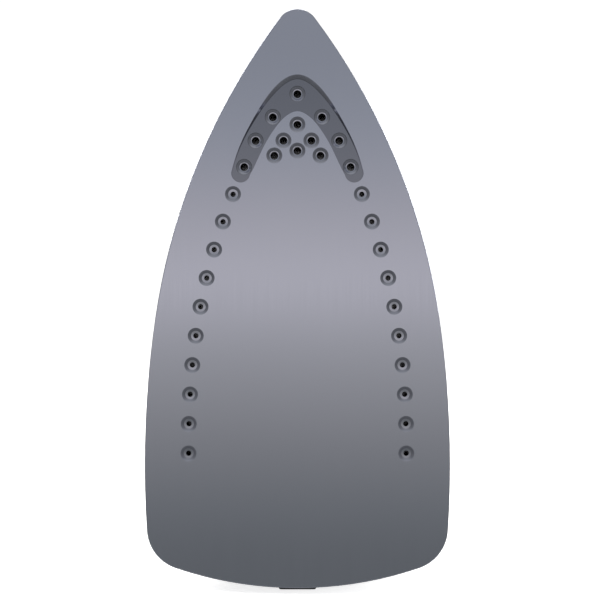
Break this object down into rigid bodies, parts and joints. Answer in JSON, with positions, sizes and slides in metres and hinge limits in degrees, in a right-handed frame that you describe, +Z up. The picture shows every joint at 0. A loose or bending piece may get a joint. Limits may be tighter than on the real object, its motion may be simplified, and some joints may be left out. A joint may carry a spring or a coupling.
{
  "type": "steam iron",
  "caption": "Household steam iron standing on its heel: vented metal soleplate, tinted water tank, arched handle, temperature dial, steam slider and push buttons.",
  "frame": {"origin": "on the surface the iron stands on, under the middle of its bounding box", "axes": "+Z up along the sole from heel to tip, -Y out of the ironing face, +X across the sole"},
  "size_m": [0.1202, 0.14, 0.231],
  "materials": {
    "sole": "satin",
    "casting": "as cast",
    "steel": "satin",
    "chrome": "bright",
    "brass": "turned",
    "seal": "matt silicone",
    "rubber": "matt",
    "skirt": "fine matt",
    "body": "gloss",
    "tank": "clear tinted",
    "grey": "fine matt",
    "black": "fine matt",
    "accent": "gloss",
    "ceramic": "unglazed ceramic",
    "white": "matt",
    "lead": "silicone insulation",
    "lens": "clear"
  },
  "bodies": {
    "iron": {"soleplate": "sole", "heater_casting": "casting", "heating_element": "steel", "element_pins": "steel", "chamber_gasket": "seal", "steam_chamber_cover": "steel", "cover_screws": "steel", "thermostat_base": "steel", "thermostat_bimetal": "brass", "thermostat_contacts": "ceramic", "thermostat_screws": "steel", "thermal_fuse": "ceramic", "skirt": "skirt", "sole_screws": "steel", "trim_band": "chrome", "tank_lower": "tank", "tank_upper": "tank", "rear_housing": "body", "top_deck": "body", "deck_screws": "steel", "handle_shell": "body", "handle_cover": "grey", "soft_grip": "rubber", "rear_cover": "skirt", "rear_cover_screws": "steel", "heel_foot_centre": "rubber", "heel_feet_side": "rubber", "heel_foot_upper": "rubber", "filler_neck": "tank", "filler_hinge_pin": "steel", "valve_seat": "brass", "valve_spring": "steel", "pump_manifold": "white", "spray_pump_body": "white", "burst_pump_body": "white", "spray_spring": "steel", "burst_spring": "steel", "suction_pipe": "white", "intake_filter": "white", "burst_pipe": "brass", "spray_nozzle": "brass", "nozzle_bezel": "chrome", "clean_spring": "steel", "dial_bush": "black", "terminal_block": "white", "terminal_screws": "brass", "heater_leads": "lead", "supply_leads": "lead", "pilot_lamp": "lens", "lamp_lens": "lens"},
    "dial": {"temperature_dial": "grey", "dial_spindle": "steel"},
    "slider": {"steam_slider": "accent"},
    "needle": {"steam_needle": "steel"},
    "spray_plunger": {"spray_button": "accent"},
    "burst_plunger": {"burst_button": "accent"},
    "clean_plunger": {"self_clean_button": "accent"},
    "door": {"filler_door": "accent"},
    "swivel": {"swivel_barrel": "black"},
    "gland": {"cord_gland": "black"}
  },
  "joints": [
    {"name": "dial_turn", "type": "hinge", "parent": "iron", "child": "dial", "pos_m": [0, 0.006, 0.098], "axis": [0, 1, 0], "range_deg": [0, 270]},
    {"name": "steam_slide", "type": "slide", "parent": "iron", "child": "slider", "axis": [0, 0, 1], "range_m": [0, 0.01]},
    {"name": "needle_lift", "type": "slide", "parent": "iron", "child": "needle", "axis": [0, 1, 0], "range_m": [0, 0.003], "deforming": ["valve_spring"]},
    {"name": "spray_press", "type": "slide", "parent": "iron", "child": "spray_plunger", "axis": [0, -1, 0], "range_m": [0, 0.0045], "stiffness_N_per_m": 600, "springref_m": -0.002, "deforming": ["spray_spring"]},
    {"name": "burst_press", "type": "slide", "parent": "iron", "child": "burst_plunger", "axis": [0, -1, 0], "range_m": [0, 0.0045], "stiffness_N_per_m": 700, "springref_m": -0.002, "deforming": ["burst_spring"]},
    {"name": "clean_press", "type": "slide", "parent": "iron", "child": "clean_plunger", "axis": [-1, 0, 0], "range_m": [0, 0.0018], "stiffness_N_per_m": 500, "springref_m": -0.001, "deforming": ["clean_spring"]},
    {"name": "filler_hinge", "type": "hinge", "parent": "iron", "child": "door", "pos_m": [0, -0.01023, 0.20469], "axis": [1, 0, 0], "range_deg": [0, 110]},
    {"name": "cord_tilt", "type": "hinge", "parent": "iron", "child": "swivel", "pos_m": [0, 0.04, 0.027], "axis": [1, 0, 0], "range_deg": [-20, 20]},
    {"name": "gland_spin", "type": "hinge", "parent": "swivel", "child": "gland", "pos_m": [0, 0.04906, 0.02277], "axis": [0, 0.9063, -0.4226], "continuous": true}
  ],
  "couplings": [
    {"joint": "needle_lift", "follows": "steam_slide", "ratio": 0.3}
  ]
}
